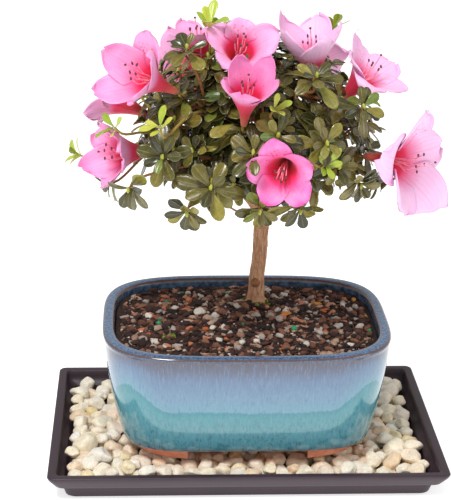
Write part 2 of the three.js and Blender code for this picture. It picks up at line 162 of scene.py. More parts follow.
# ------------------------------------------------------------------ materials
class Shader:
    """A node material, written as short calls that each give back an output socket."""

    def __init__(self, name):
        self.material = bpy.data.materials.new(name)
        self.material.use_nodes = True
        self.nodes = self.material.node_tree.nodes
        self.links = self.material.node_tree.links
        self.surface = self.nodes["Principled BSDF"]
        self.place = self.nodes.new("ShaderNodeTexCoord").outputs["Object"]

    def feed(self, socket, value):
        """Links an output to an input, or sets the input to a plain value."""
        if isinstance(value, bpy.types.NodeSocket):
            self.links.new(value, socket)
        elif value is not None:
            socket.default_value = value

    def fill(self, node, inputs):
        """Feeds inputs by name, written with _ for a space."""
        for name, value in inputs.items():
            self.feed(node.inputs[name.replace("_", " ")], value)
        return node

    def node(self, kind, **inputs):
        return self.fill(self.nodes.new("ShaderNode" + kind), inputs)

    def set(self, **inputs):
        self.fill(self.surface, inputs)
        return self.material

    def value(self, name):
        """The number of that name at each vertex of the mesh."""
        node = self.node("Attribute")
        node.attribute_name = name
        return node.outputs["Fac"]

    def noise(self, scale, detail=3.0, rough=0.5, place=None, distortion=0.0):
        inputs = dict(Scale=scale, Detail=detail, Roughness=rough, Distortion=distortion)
        return self.node("TexNoise", Vector=place or self.place, **inputs).outputs["Fac"]

    def cells(self, scale):
        return self.node("TexVoronoi", Scale=scale, Vector=self.place).outputs["Distance"]

    def ramp(self, source, *stops):
        """Stops are (position, r, g, b), in usual 0 to 255 values, or (position, grey from 0 to 1)."""
        node = self.node("ValToRGB", Fac=source)
        elements = node.color_ramp.elements
        for stop in stops[2:]:
            elements.new(stop[0])
        for element, (position, *colour) in zip(elements, stops):
            element.position = position
            element.color = (*(colour * 3 if len(colour) == 1 else rgb(*colour)), 1)
        return node.outputs["Color"]

    def mix(self, amount, a, b, blend="MIX"):
        node = self.node("Mix")
        node.data_type = "RGBA"
        node.blend_type = blend
        self.feed(node.inputs[0], amount)
        for socket, value in ((node.inputs[6], a), (node.inputs[7], b)):
            self.feed(socket, (*value, 1) if isinstance(value, tuple) else value)
        return node.outputs[2]

    def math(self, operation, a, b=None):
        node = self.node("Math")
        node.operation = operation
        self.feed(node.inputs[0], a)
        self.feed(node.inputs[1], b)
        return node.outputs[0]

    def swing(self, source, reach):
        """A noise's distance from its middle value, times reach."""
        return self.math("MULTIPLY", self.math("SUBTRACT", source, 0.5), reach)

    def grain(self, x, y, z, detail=5, rough=0.7, **more):
        """Noise with its own scale along each axis."""
        place = self.node("Mapping", Scale=(x, y, z), Vector=self.place).outputs["Vector"]
        return self.noise(1, detail, rough, place, **more)

    def bump(self, height, strength, distance):
        node = self.node("Bump", Strength=strength, Distance=distance, Height=height)
        return self.set(Normal=node.outputs["Normal"])


def rgb(r, g, b):
    """A colour from its usual 0 to 255 values, as linear light."""
    return tuple(((c / 255 + 0.055) / 1.055) ** 2.4 if c > 10 else c / 3294.6 for c in (r, g, b))


def tray_material():
    """Satin plum-grey plastic."""
    s = Shader("tray_plastic")
    grain = s.noise(2600, 2)
    wide = s.noise(28, 4)
    colour = s.ramp(wide, (0.3, 48, 33, 42), (0.7, 62, 45, 55))
    s.set(Base_Color=colour, Roughness=s.ramp(wide, (0.3, 0.38), (0.7, 0.5)))
    return s.bump(grain, 0.25, 0.0001)


def pebble_material():
    """Smooth cream and white stones, some of them tan or yellow."""
    s = Shader("pebbles")
    tint, soft = s.value("tint"), s.noise(160, 5, 0.6)
    base = s.ramp(
        tint, (0.0, 255, 250, 238), (0.3, 255, 242, 216), (0.55, 255, 248, 234), (0.72, 252, 226, 192),
        (0.86, 255, 250, 240), (1.0, 250, 228, 168),
    )
    cloud = s.ramp(soft, (0.35, 0.86), (0.6, 1.0))
    veins = s.ramp(s.noise(420, 6, 0.7, distortion=1.5), (0.42, 206, 172, 130), (0.56, 255, 255, 255))
    colour = s.mix(0.3, s.mix(1.0, base, cloud, "MULTIPLY"), veins, "MULTIPLY")
    s.set(Base_Color=colour, Roughness=s.ramp(soft, (0.3, 0.3), (0.7, 0.5)))
    s.set(Subsurface_Weight=0.3, Subsurface_Radius=(0.004, 0.003, 0.002))
    return s.bump(s.noise(900, 5, 0.6), 0.35, 0.0004)


def glaze_material():
    """Glossy glaze that runs from lavender and blue over aqua to teal; bare clay below it."""
    s = Shader("pot_glaze")
    level, rim, clay, face = s.value("level"), s.value("rim"), s.value("clay"), s.value("inside")
    # the colour follows the height over the base, drawn into streaks and drifts
    drift = s.math("ADD", level, s.swing(s.grain(620, 620, 40), 0.07))
    drift = s.math("ADD", drift, s.swing(s.grain(46, 46, 17, 3, 0.55), 0.06))
    upper = s.ramp(
        drift, (0.0, 40, 92, 112), (0.06, 80, 140, 154), (0.22, 94, 152, 162), (0.34, 78, 148, 158),
        (0.39, 62, 136, 148), (0.405, 108, 154, 174), (0.56, 108, 142, 168), (0.74, 100, 124, 154),
        (0.88, 88, 92, 112), (1.0, 80, 68, 74),
    )
    specks = s.ramp(s.grain(420, 420, 190, 6, 0.75), (0.36, 40, 92, 104), (0.52, 255, 255, 255))
    low = s.ramp(level, (0.0, 0.6), (0.42, 0.1))
    colour = s.mix(low, upper, s.mix(1.0, upper, specks, "MULTIPLY"))
    pale = s.ramp(s.grain(900, 900, 110), (0.5, 0.0), (0.75, 0.4))
    colour = s.mix(pale, colour, rgb(142, 164, 188))
    dark = s.ramp(s.grain(760, 760, 90), (0.28, 0.5), (0.46, 0.0))
    colour = s.mix(dark, colour, rgb(64, 100, 142))
    speckle = s.ramp(s.noise(620, 5, 0.7), (0.38, 34, 62, 104), (0.62, 96, 134, 172))
    colour = s.mix(s.ramp(rim, (0.35, 0.0), (0.6, 0.85)), colour, speckle)
    # the glaze runs thin and brown over the edges of the rim
    breaks = s.math("ADD", rim, s.swing(s.noise(300, 4), 0.22))
    colour = s.mix(s.ramp(breaks, (0.84, 0.0), (0.93, 0.9)), colour, rgb(96, 66, 44))
    inner = s.ramp(s.noise(240, 4), (0.35, 44, 62, 84), (0.65, 92, 118, 146))
    colour = s.mix(s.ramp(face, (0.45, 0.0), (0.55, 1.0)), colour, inner)
    fired = s.noise(190, 6, 0.7)
    terracotta = s.ramp(fired, (0.3, 206, 120, 92), (0.55, 238, 160, 130), (0.75, 250, 190, 162))
    is_clay = s.ramp(clay, (0.4, 0.0), (0.6, 1.0))
    colour = s.mix(is_clay, colour, terracotta)
    s.set(Base_Color=colour, Roughness=s.mix(is_clay, (0.13, 0.13, 0.13), (0.8, 0.8, 0.8)))
    s.set(Coat_Weight=s.ramp(clay, (0.4, 0.6), (0.6, 0.0)), Coat_Roughness=0.05)
    return s.bump(s.mix(is_clay, s.noise(34, 3), s.noise(1300, 5)), 0.12, 0.0012)


def screen_material():
    """Plain dark plastic."""
    s = Shader("screen_plastic")
    s.set(Base_Color=s.ramp(s.noise(300), (0.3, 24, 24, 26), (0.7, 44, 44, 46)), Roughness=0.55)
    return s.bump(s.noise(1500), 0.3, 0.0001)


def soil_material():
    """Dark, damp, crumbly soil."""
    s = Shader("soil")
    fine, wide = s.noise(900, 6, 0.75), s.noise(140, 5, 0.6)
    colour = s.ramp(
        fine, (0.3, 26, 16, 14), (0.5, 60, 38, 30), (0.66, 104, 70, 54), (0.8, 150, 118, 96),
    )
    colour = s.mix(s.ramp(wide, (0.35, 0.75), (0.7, 0.0)), colour, rgb(26, 17, 16))
    s.set(Base_Color=colour, Roughness=0.93)
    return s.bump(fine, 0.9, 0.0022)


BARK, PUMICE, DRY_LEAF, BEAD, MOSS = 0.0, 0.2, 0.4, 0.6, 0.8  # kinds of lump on the soil


def grain_material():
    """Loose lumps on the soil, one look for each kind."""
    s = Shader("soil_grains")
    kind, tint, fine = s.value("kind"), s.value("tint"), s.noise(1100, 5, 0.7)
    colour = s.ramp(
        tint, (0.0, 28, 16, 13), (0.4, 76, 44, 33), (0.7, 134, 88, 66), (0.9, 182, 154, 132),
        (1.0, 196, 100, 50),
    )
    pumice = s.ramp(tint, (0.0, 160, 146, 138), (1.0, 226, 218, 206))
    dry = s.ramp(tint, (0.0, 178, 74, 34), (0.6, 206, 112, 48), (1.0, 214, 170, 70))
    bead = s.ramp(tint, (0.0, 16, 128, 92), (1.0, 44, 160, 104))
    moss = s.ramp(tint, (0.0, 70, 86, 22), (1.0, 142, 156, 48))
    for least, look in ((PUMICE, pumice), (DRY_LEAF, dry), (BEAD, bead), (MOSS, moss)):
        colour = s.mix(s.ramp(kind, (least - 0.1, 0.0), (least - 0.08, 1.0)), colour, look)
    colour = s.mix(1.0, colour, s.ramp(fine, (0.25, 0.55), (0.6, 1.1)), "MULTIPLY")
    s.set(Base_Color=colour, Roughness=s.ramp(kind, (0.52, 0.85), (0.6, 0.4), (0.7, 0.9)))
    return s.bump(fine, 0.6, 0.0008)


def bark_material():
    """Tan trunk bark, grooved along the limb; redder and greener where the wood is young."""
    s = Shader("bark")
    young = s.value("young")
    groove = s.grain(620, 620, 95, 6, distortion=0.4)
    fleck = s.noise(420, 5, 0.7)
    old = s.ramp(
        groove, (0.3, 116, 78, 54), (0.44, 190, 138, 104), (0.58, 220, 174, 136), (0.78, 236, 206, 170),
    )
    old = s.mix(s.ramp(fleck, (0.5, 0.0), (0.7, 0.45)), old, rgb(150, 92, 66))
    twig = s.ramp(fleck, (0.3, 112, 66, 34), (0.7, 168, 112, 62))
    colour = s.mix(s.ramp(young, (0.3, 0.0), (0.8, 1.0)), old, twig)
    colour = s.mix(s.ramp(young, (0.9, 0.0), (1.0, 0.85)), colour, rgb(176, 160, 70))
    s.set(Base_Color=colour, Roughness=0.8)
    return s.bump(groove, 0.8, 0.0009)


def leaf_material():
    """Half-glossy dark leaves with a pale midrib and a painted rim highlight along the margin; fresh ones are
    yellow-green.
    """
    s = Shader("leaves")
    tint, across, along, fresh = s.value("tint"), s.value("across"), s.value("along"), s.value("fresh")
    mottle = s.noise(240, 4, 0.6)
    base = s.ramp(
        tint, (0.0, 40, 40, 12), (0.35, 72, 68, 20), (0.7, 110, 98, 34), (0.9, 140, 130, 50),
        (1.0, 84, 116, 42),
    )
    base = s.mix(1.0, base, s.ramp(mottle, (0.3, 0.75), (0.7, 1.2)), "MULTIPLY")
    new = s.ramp(tint, (0.0, 146, 172, 44), (0.6, 184, 200, 62), (1.0, 214, 214, 92))
    colour = s.mix(fresh, base, new)
    side = s.math("ABSOLUTE", across)
    rib = s.ramp(side, (0.0, 0.42), (0.05, 0.2), (0.1, 0.0))
    # painted highlight: a pale band along the margin stands in for light catching the leaf's rim
    edge = s.ramp(side, (0.9, 0.0), (1.0, 0.55))
    # side veins slant forward from the midrib
    slant = s.math("SUBTRACT", s.math("MULTIPLY", along, 70.4), s.math("MULTIPLY", side, 22.0))
    veins = s.ramp(s.math("SINE", slant), (0.8, 0.0), (1.0, 0.09))
    # the pale midrib and veins and the painted rim highlight share one pale colour
    pale = s.math("MAXIMUM", s.math("MAXIMUM", rib, edge), veins)
    colour = s.mix(pale, colour, rgb(158, 164, 104))
    s.set(Base_Color=colour, Roughness=s.ramp(mottle, (0.3, 0.2), (0.7, 0.36)))
    s.set(Coat_Weight=0.25, Coat_Roughness=0.25)
    s.set(Subsurface_Weight=0.08, Subsurface_Radius=(0.002, 0.003, 0.001))
    return s.bump(s.mix(0.7, pale, mottle), 0.35, 0.0007)


def petal_material():
    """Pink petals, paler at mid lobe, magenta at the margin, red in the throat, with fine darker veins."""
    s = Shader("petals")
    along, across, tint, blotch = s.value("along"), s.value("across"), s.value("tint"), s.value("blotch")
    cloud = s.noise(110, 4, 0.55)
    shade = s.ramp(
        along, (0.0, 214, 120, 84), (0.2, 214, 52, 66), (0.4, 230, 30, 84), (0.52, 236, 74, 146),
        (0.76, 240, 122, 192), (0.92, 234, 102, 182), (1.0, 222, 72, 164),
    )
    lobe = s.ramp(along, (0.45, 0.0), (0.7, 1.0))
    light = s.math("MULTIPLY", s.ramp(cloud, (0.35, 0.0), (0.7, 0.55)), lobe)
    colour = s.mix(light, shade, rgb(244, 172, 222))
    pale = s.math("MULTIPLY", tint, s.ramp(along, (0.42, 0.0), (0.6, 1.0)))
    colour = s.mix(pale, colour, rgb(250, 206, 242))
    fan = s.math("MULTIPLY", across, 30.0)
    wander = s.math("MULTIPLY", s.noise(260, 3), 5.0)
    vein = s.ramp(s.math("SINE", s.math("ADD", fan, wander)), (0.7, 0.0), (1.0, 0.2))
    centre = s.ramp(s.math("ABSOLUTE", across), (0.0, 0.3), (0.05, 0.0))
    vein = s.math("MULTIPLY", s.math("MAXIMUM", vein, centre), s.ramp(along, (0.3, 1.0), (0.95, 0.25)))
    colour = s.mix(vein, colour, rgb(206, 40, 104))
    spots = s.math("MULTIPLY", s.ramp(s.cells(420), (0.22, 1.0), (0.34, 0.0)), blotch)
    colour = s.mix(spots, colour, rgb(170, 12, 60))
    s.set(Base_Color=colour, Roughness=0.52, Sheen_Weight=0.15)
    s.set(Subsurface_Weight=0.12, Subsurface_Radius=(0.004, 0.0016, 0.002))
    return s.bump(s.mix(0.5, vein, cloud), 0.3, 0.0007)


def stamen_material():
    """Pale pink threads; dark anthers and stigma at their tips."""
    s = Shader("stamens")
    tip = s.value("tip")
    thread = s.ramp(s.noise(500, 3), (0.3, 232, 120, 150), (0.7, 250, 196, 206))
    head = s.ramp(s.noise(900, 3), (0.3, 70, 30, 44), (0.7, 120, 70, 60))
    s.set(Base_Color=s.mix(s.ramp(tip, (0.5, 0.0), (0.6, 1.0)), thread, head), Roughness=0.5)
    return s.bump(s.noise(1800), 0.2, 0.0002)


def finished(piece, slot, *nodes):
    """Hands a piece to the frame: its body and the CAD nodes that it shows; slot is not used."""
    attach(piece, "root")
    if nodes:
        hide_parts(*nodes)
    return piece


# ------------------------------------------------------------------ tray
TRAY_X, TRAY_Y = 139.0, 91.0  # half length and half width over the rim


def rounded_rectangle(half_x, half_y, z, corner, per_corner=9, per_side=6):
    """A ring of points: round corners, with points added along the straight sides."""
    points = []
    for quarter in range(4):
        x = (half_x - corner) * (1 if quarter in (0, 3) else -1)
        y = (half_y - corner) * (1 if quarter < 2 else -1)
        for i in range(per_corner):
            a = (quarter + i / (per_corner - 1)) * PI / 2
            points.append((x + corner * math.cos(a), y + corner * math.sin(a), z))
    points = np.array(points)
    ring = []
    for n, p in enumerate(points):
        after = points[(n + 1) % len(points)]
        steps = per_side if (n + 1) % per_corner == 0 else 1
        ring += [p + (after - p) * m / steps for m in range(steps)]
    return ring


def make_tray():
    # inset from the rim, height and corner radius, up the outside, over the rim and down the inside
    profile = [
        (16, 0, 5), (12.6, 0.15, 7), (11.7, 0.9, 7), (11.3, 2.4, 7), (10.2, 6, 7), (9.6, 8.8, 7),
        (9.3, 9.6, 7), (7.6, 10.1, 7), (5.6, 10.4, 7), (4.4, 11, 7), (3.5, 12.6, 6.5), (1.6, 15.6, 6),
        (0.5, 17.8, 5.5), (0.05, 19.2, 5.2), (0.1, 19.9, 5.2), (0.5, 20.4, 5), (1.1, 20.5, 4.8),
        (3, 20.35, 4.4), (5, 20.3, 4), (5.7, 20.15, 3.8), (6.1, 19.6, 3.7), (6.6, 16, 3.6), (7.4, 12, 3.6),
        (10.6, 10.6, 4), (11.2, 9.6, 4), (12.4, 4.4, 4), (14, 3.1, 4), (17, 2.6, 4),
    ]
    rings = [rounded_rectangle(TRAY_X - inset, TRAY_Y - inset, z, corner) for inset, z, corner in profile]
    patch = Patch()
    loft(patch, rings)
    tray = patch.build("humidity_tray_look", tray_material())
    finished(tray, "tray_plastic", "humidity_tray")


# ------------------------------------------------------------------ pot
POT_BASE, POT_RIM, FOOT_Z = 27.0, 103.5, 18.0
RIM_X, RIM_Y, BASE_X, BASE_Y = 101.5, 78.5, 88.0, 67.0
SQUARE = 3.7  # exponent of the superellipse that the rim follows
POT_STEPS = 192  # points round the pot


def clamp(value, low=0.0, high=1.0):
    return max(low, min(high, value))


def pot_half_sizes(z):
    """Half length and half width of the pot's outside at a height."""
    grow = 1 - (1 - clamp((z - POT_BASE) / (POT_RIM - POT_BASE))) ** 1.7
    return BASE_X + (RIM_X - BASE_X) * grow, BASE_Y + (RIM_Y - BASE_Y) * grow


def outline(half_x, half_y, z, count=POT_STEPS):
    """The pot's plan outline: squarer at the base than at the rim."""
    angle = (np.arange(count) + 0.5) / count * 2 * PI
    power = SQUARE + 1.1 * clamp((POT_RIM - z) / (POT_RIM - POT_BASE)) ** 1.5
    c, s = np.cos(angle), np.sin(angle)
    r = (np.abs(c) ** power + np.abs(s) ** power) ** (-1 / power)
    return np.stack([half_x * r * c, half_y * r * s, np.full(count, float(z))], -1)


def pot_rows():
    """Rows of the pot's skin: height, inset, how near to the rim's edge, and 1 on the inside."""
    foot = [(27.0, 7.0), (27.0, 2.4), (27.3, 1.2), (28.0, 0.5), (29.4, 0.15), (32, 0.0)]
    rim = [
        (99.2, -0.1, 0.0), (100.2, -0.5, 0.0), (101.0, -0.7, 0.3), (101.8, -0.5, 0.9), (102.5, 0.1, 1.0),
        (103.1, 0.9, 0.8), (103.45, 1.9, 0.62), (103.5, 3.2, 0.6), (103.5, 4.6, 0.6), (103.35, 5.8, 0.66),
        (102.9, 6.7, 0.92), (102.2, 7.3, 1.0), (101.2, 7.7, 0.9), (99.8, 7.9, 0.35),
    ]
    inner = [(97, 8), (90, 8), (80, 8), (66, 8), (52, 8.2), (44, 9), (39, 11), (35.5, 15), (34, 22)]
    rows = [(z, inset, 0.0, 0) for z, inset in foot + [(z, 0.0) for z in np.linspace(36, 98, 30)]]
    rows += [(z, inset, mark, 0 if inset < 7.4 else 0.6) for z, inset, mark in rim]
    return rows + [(z, inset, 0.0, 1) for z, inset in inner]


def glaze_level(ring, z, half_x, half_y):
    """0 at the base, 0.4 where the teal ends and 1 at the rim, for each point of a ring."""
    angle = np.arctan2(ring[:, 1] / half_y, ring[:, 0] / half_x)
    corner = np.clip((np.abs(np.sin(2 * angle)) - 0.9) / 0.1, 0, 1) ** 1.6
    # the teal stands at mid height along the faces and climbs near the corners
    across = np.clip(np.abs(ring[:, 0]) / 84, 0, 1) ** 4 * (np.abs(ring[:, 1]) > 50)
    waves = [1.6 * lumps(p, 24, 8.0) + 0.7 * lumps(p, 5, 2.0) for p in ring * [1, 1, 0]]
    boundary = 61 + 6 * across + 13 * corner + np.array(waves)
    below = (z - POT_BASE) / (boundary - POT_BASE) * 0.4
    above = 0.4 + 0.6 * (z - boundary) / (POT_RIM - boundary)
    return np.where(z < boundary, below, above)


def make_pot():
    patch = Patch()
    rows = pot_rows()
    rings, level = [], []
    for z, inset, rim_mark, inside_mark in rows:
        hx, hy = pot_half_sizes(z)
        ring = outline(hx - inset, hy - inset, z)
        if inside_mark == 0 and rim_mark == 0:
            # a hand-made body: barely felt waves over the outer wall
            for p in ring:
                p[:2] *= 1 + 0.0022 * lumps(p, 34, 3.0)
        rings.append(ring)
        level.append(glaze_level(ring, z, hx, hy))
    marks = np.array([row[2:] for row in rows], float)
    rim, inside = (np.repeat(mark[:, None], POT_STEPS, 1) for mark in marks.T)
    clay = np.zeros((len(rows), POT_STEPS))
    clay[:2] = 1  # bare clay under the body
    loft(patch, rings, level=np.array(level), rim=rim, inside=inside, clay=clay)

    # bare feet under the four corners of the base
    foot = [(FOOT_Z, 1.4), (FOOT_Z + 0.5, 0.5), (FOOT_Z + 2, 0.1), (FOOT_Z + 7, 0), (POT_BASE + 1.5, -0.4)]
    for sx in (-1, 1):
        for sy in (-1, 1):
            rings = []
            for z, shrink in foot:
                outer = foot_arc(6 + shrink, z, sx, sy, shrink)
                inner = foot_arc(20 - shrink, z, sx, sy, shrink)[::-1]
                ring = np.concatenate([outer, inner])
                rings.append(ring if sx * sy > 0 else ring[::-1])
            loft(patch, rings, level=0.0, rim=0.0, inside=0.0, clay=1.0)
    finished(patch.build("pot_look", glaze_material()), "pot_glaze", "pot")


def foot_arc(inset, z, sx, sy, shrink):
    """Points along a corner of the base outline, from the long side round to the short side."""
    start_x, end_y = 42 + shrink, 33 + shrink
    points = []
    for a in np.linspace(0.02, PI / 2 - 0.02, 41):
        c, s = math.cos(a), math.sin(a)
        r = (c**SQUARE + s**SQUARE) ** (-1 / SQUARE)
        x, y = (BASE_X - inset) * r * c, (BASE_Y - inset) * r * s
        points.append((max(x, start_x) if y > end_y else x, max(y, end_y) if x > start_x else y))
    kept = [p for p in points if p[0] >= start_x - 1e-6 and p[1] >= end_y - 1e-6]
    t = np.linspace(0, len(kept) - 1, 20)
    xs = np.interp(t, np.arange(len(kept)), [p[0] for p in kept])
    ys = np.interp(t, np.arange(len(kept)), [p[1] for p in kept])
    return np.stack([sx * xs, sy * ys, np.full(20, float(z))], -1)


# ------------------------------------------------------------------ stones and grains
def ball(level):
    """Points and triangles of a unit ball."""
    t = (1 + 5**0.5) / 2
    points = [(-1, t, 0), (1, t, 0), (-1, -t, 0), (1, -t, 0), (0, -1, t), (0, 1, t)]
    points += [(0, -1, -t), (0, 1, -t), (t, 0, -1), (t, 0, 1), (-t, 0, -1), (-t, 0, 1)]
    faces = [
        (0, 11, 5), (0, 5, 1), (0, 1, 7), (0, 7, 10), (0, 10, 11), (1, 5, 9), (5, 11, 4), (11, 10, 2),
        (10, 7, 6), (7, 1, 8), (3, 9, 4), (3, 4, 2), (3, 2, 6), (3, 6, 8), (3, 8, 9), (4, 9, 5), (2, 4, 11),
        (6, 2, 10), (8, 6, 7), (9, 8, 1),
    ]
    points = [unit(p) for p in points]
    for _ in range(level):
        middle, new = {}, []
        for a, b, c in faces:
            mids = []
            for p, q in ((a, b), (b, c), (c, a)):
                key = (min(p, q), max(p, q))
                if key not in middle:
                    middle[key] = len(points)
                    points.append(unit(points[p] + points[q]))
                mids.append(middle[key])
            x, y, z = mids
            new += [(a, x, z), (b, y, x), (c, z, y), (x, y, z)]
        faces = new
    return np.array(points), faces


BALLS = {level: ball(level) for level in (1, 2, 3)}


def stone(patch, at, sizes, seed, level=2, lumpy=0.2, facets=0.0, **values):
    """A rounded stone: a stretched ball with a few flat sides and lumps."""
    points, faces = BALLS[level]
    points = points.copy()
    rng = np.random.default_rng(seed)
    for _ in range(7):
        # a flat side: press in whatever stands beyond a plane
        normal = unit(rng.normal(size=3))
        depth = 0.62 - 0.5 * max(0.0, facets - 0.1) + 0.3 * rng.random()
        beyond = np.maximum(points @ normal - depth, 0)
        points -= normal * beyond[:, None] * (0.65 + facets)
    shift = rng.random(3) * 40
    push = np.array([noise.noise(Vector(p * 1.3 + shift)) for p in points])
    points *= (1 + lumpy * push)[:, None]
    turn, tilt = rng.random() * 2 * PI, (rng.random() - 0.5) * 0.9
    pose = Matrix.Rotation(turn, 3, "Z") @ Matrix.Rotation(tilt, 3, "X")
    points = (points * sizes) @ np.array(pose).T + at
    patch.add(points, faces, **values)


def oval(x, y, half_x, half_y):
    """0 in the middle of the pot's plan shape and 1 on its outline, for the given half sizes."""
    return ((abs(x) / half_x) ** SQUARE + (abs(y) / half_y) ** SQUARE) ** (1 / SQUARE)


def past_pot(x, y):
    """How far a plan point lies outside the pot's base, roughly, in mm; negative under the pot."""
    return (oval(x, y, BASE_X, BASE_Y) - 1) * min(math.hypot(x, y) + 1e-6, 90)


def make_pebbles():
    """Stones dropped one after another, each into the lowest of a few places, until the tray is full."""
    rng = np.random.default_rng(11)
    squash = 0.72  # a stone's height for its width
    placed = np.zeros((0, 4))  # x, y, z, radius
    for _ in range(3600):
        r = 5.2 + 4.6 * rng.random() ** 1.5
        best = None
        for _ in range(9):
            across = rng.random(2) * 2 - 1
            x, y = across * (TRAY_X - 9 - 1.1 * r, TRAY_Y - 9 - 1.1 * r)
            z = 3.0 + r * squash
            if len(placed):
                flat = np.hypot(placed[:, 0] - x, placed[:, 1] - y)
                reach = (placed[:, 3] + r) * 0.82
                over = flat < reach
                if over.any():
                    rise = np.sqrt(reach[over] ** 2 - flat[over] ** 2) * squash
                    z = max(z, float((placed[over, 2] + rise).max()))
            if z < 12:
                # low stones keep off the tray's sloping foot
                most = np.array([TRAY_X, TRAY_Y]) - 13.5 - r * 1.05
                x, y = np.clip((x, y), -most, most)
            if best is None or z < best[2]:
                best = (x, y, z, r)
        x, y, z, r = best
        # the heap's surface: a little lower at the back left, by the rim and against the pot
        limit = 23.2 - 2.2 * (y > 20) * (x < 0) + 1.5 * lumps((x, y, 0), 30, 5.0)
        near = min(TRAY_X - abs(x), TRAY_Y - abs(y)) - 8.5
        if near < r * 1.15:
            limit = min(limit, 21.4 + (1.2 if y < 0 else 0))
        gap = past_pot(x, y)
        if gap < r * 0.9:
            limit = 17.7
        elif gap < r * 1.3:
            limit = min(limit, 21)
        if z + r * squash <= limit:
            placed = np.concatenate([placed, [best]])
    patch = Patch()
    for n, (x, y, z, r) in enumerate(placed):
        hidden = z + r * squash < 12.5 or past_pot(x, y) < -16
        level = 1 if hidden else 3
        stretch = 0.86 + 0.34 * rng.random()
        sizes = np.array([r * stretch, r / stretch, r * squash * (0.96 + 0.1 * rng.random())])
        stone(patch, (x, y, z), sizes, 100 + n, level, lumpy=0.16, facets=0.1, tint=chance(n, 5))
    finished(patch.build("pebbles_look", pebble_material()), "pebbles", "pebble_bed")


SOIL_Z = 97.0  # about where the soil's top meets the wall


def soil_height(x, y):
    """The soil's top: slightly crowned, heaped round the trunk, and rough."""
    hx, hy = pot_half_sizes(SOIL_Z)
    k = oval(x, y, hx - 8, hy - 8)
    mound = 3.2 * math.exp(-((x - 10) ** 2 + (y - 30) ** 2) / 700)
    rough = 1.0 * lumps((x, y, 0), 13, 1.0) + 0.6 * lumps((x, y, 0), 4.5, 4.0)
    return 96.6 + 1.4 * (1 - k**2) + mound + rough


def make_soil():
    patch = Patch()
    rings = []
    for z, inset in [(36, 17), (41, 12), (52, 9.2), (80, 8.5), (94, 8.4)]:
        hx, hy = pot_half_sizes(z)
        rings.append(outline(hx - inset, hy - inset, z, 128))
    hx, hy = pot_half_sizes(SOIL_Z)
    for share in np.concatenate([[1.0], np.linspace(0.985, 0.02, 46)]):
        ring = outline((hx - 8.4) * share, (hy - 8.4) * share, SOIL_Z, 128)
        for p in ring:
            p[2] = soil_height(p[0], p[1])
        rings.append(ring)
    loft(patch, rings)
    finished(patch.build("soil_look", soil_material()), "soil", "soil")


def scatter_grains(grains):
    """Bark and pale grit over the whole surface."""
    hx, hy = pot_half_sizes(SOIL_Z)
    rng = np.random.default_rng(5)
    for n in range(4200):
        angle, share = rng.random() * 2 * PI, math.sqrt(rng.random()) * 0.985
        c, s = math.cos(angle), math.sin(angle)
        reach = (abs(c) ** SQUARE + abs(s) ** SQUARE) ** (-1 / SQUARE) * share
        r = 0.7 + 2.8 * rng.random() ** 3.6
        x, y = (hx - 9.2 - r) * reach * c, (hy - 9.2 - r) * reach * s
        if math.hypot(x - 10, y - 32) < 7.5:
            continue
        pale = rng.random() < 0.085
        chip = (not pale) and rng.random() < 0.4
        sizes = np.array([r * (1.7 if chip else 1.15), r * (0.9 if chip else 1), r * (0.4 if chip else 0.75)])
        at = (x, y, soil_height(x, y) + r * 0.25)
        tint = rng.random() ** 1.5
        stone(grains, at, sizes, 5000 + n, 1, 0.55, 0.35, kind=PUMICE if pale else BARK, tint=tint)


def place_accents(grains):
    """The few larger or coloured things on the soil."""
    beads = [(-44, 52), (-56, 36), (-61, 4), (-62, -4), (-10, 47), (-2, -8), (25, -18)]
    beads += [(34, -17, 2.4), (88, -18)]
    leaves = [(-66, 10), (30, 9), (54, 47), (55, 33, 5), (84, 43)]
    chips = [(42, 6), (90, 10), (87, -6)]
    pumice = [(-32, 12, 5), (-21, 4), (-24, -14), (74, 28), (83, 27), (82, -10), (-50, 22), (10, -30)]
    pumice += [(-8, -48), (40, -44)]
    moss = [(-55, -26), (4, 26), (14, 22), (20, 27), (0, 33)]
    # kind, x and y and now and then a half length, usual half length, width and height for length, lumps
    accents = [
        (BEAD, beads, 1.7, 0.95, 0.95, 0.05), (DRY_LEAF, leaves, 4.0, 0.5, 0.22, 0.25),
        (DRY_LEAF, chips, 2.4, 0.5, 0.22, 0.25), (PUMICE, pumice, 3.2, 0.75, 0.6, 0.25),
        (MOSS, moss, 3.4, 0, 0, 0),
    ]
    hx, hy = pot_half_sizes(SOIL_Z)
    n = 9000
    for kind, places, size, wide, flat, lumpy in accents:
        for x, y, *given in places:
            n += 1
            r = given[0] if given else size * (0.8 + 0.4 * chance(n, 2))
            x, y = clamp(x, 12 - hx, hx - 12), clamp(y, 12 - hy, hy - 12)
            if kind == MOSS:
                for m in range(34):
                    dx, dy = (chance(n, m) - 0.5) * 9, (chance(n, m + 50) - 0.5) * 9
                    at = (x + dx, y + dy, soil_height(x + dx, y + dy) + 0.5)
                    tint = chance(n, m + 90)
                    stone(grains, at, np.array([0.7, 0.7, 1.1]), n * 40 + m, 1, 0.3, kind=MOSS, tint=tint)
                continue
            at = (x, y, soil_height(x, y) + r * flat * 0.5 + 0.3)
            sizes = r * np.array([1, wide, flat])
            stone(grains, at, sizes, n, 2, lumpy, kind=kind, tint=chance(n, 4))


def make_grains():
    grains = Patch()
    scatter_grains(grains)
    place_accents(grains)
    finished(grains.build("soil_grains_look", grain_material()), "soil")


# ------------------------------------------------------------------ the tree's frame
ROOT = np.array([9.8, 32.0])  # where the trunk stands, from above
CROWN = np.array([5.0, 20.0, 234.0])
CROWN_HALF = (88.0, 74.0)  # half its width and half its depth
CROWN_UP, CROWN_DOWN = 74.0, 40.0

